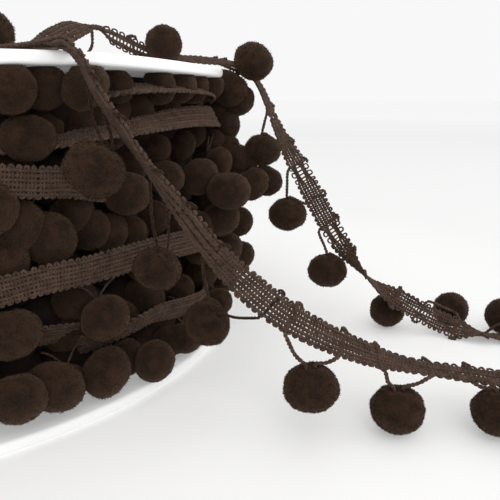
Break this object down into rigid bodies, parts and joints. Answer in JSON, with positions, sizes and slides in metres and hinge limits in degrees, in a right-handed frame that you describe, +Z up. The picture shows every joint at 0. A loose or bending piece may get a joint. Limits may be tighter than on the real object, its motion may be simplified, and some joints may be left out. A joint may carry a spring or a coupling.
{
  "type": "pompom fringe trim on a reel",
  "caption": "Dark pompom fringe trim wound on a white two-flange reel, with a loose length draped over the top and looped on the floor.",
  "frame": {"origin": "centre of the lower flange's underside, on the reel's axis", "axes": "+Z up along the reel's axis, +X towards the side where the loose length lies on the floor, -Y towards the side that the loose length hangs down"},
  "size_m": [0.3271, 0.2045, 0.09],
  "materials": {
    "reel_white": "smooth satin white",
    "pompom_pile": "cut pile, very dark brown",
    "header_braid": "open woven braid, dark brown"
  },
  "bodies": {
    "root": {"flange_bottom": "reel_white", "flange_top": "reel_white", "roll": "pompom_pile", "fringe_back": "pompom_pile", "fringe_top": "pompom_pile", "fringe_front": "pompom_pile", "fringe_floor": "pompom_pile", "fringe_loop": "pompom_pile", "fringe_rise": "pompom_pile", "fringe_rim": "pompom_pile", "header_loose": "header_braid"}
  },
  "joints": []
}
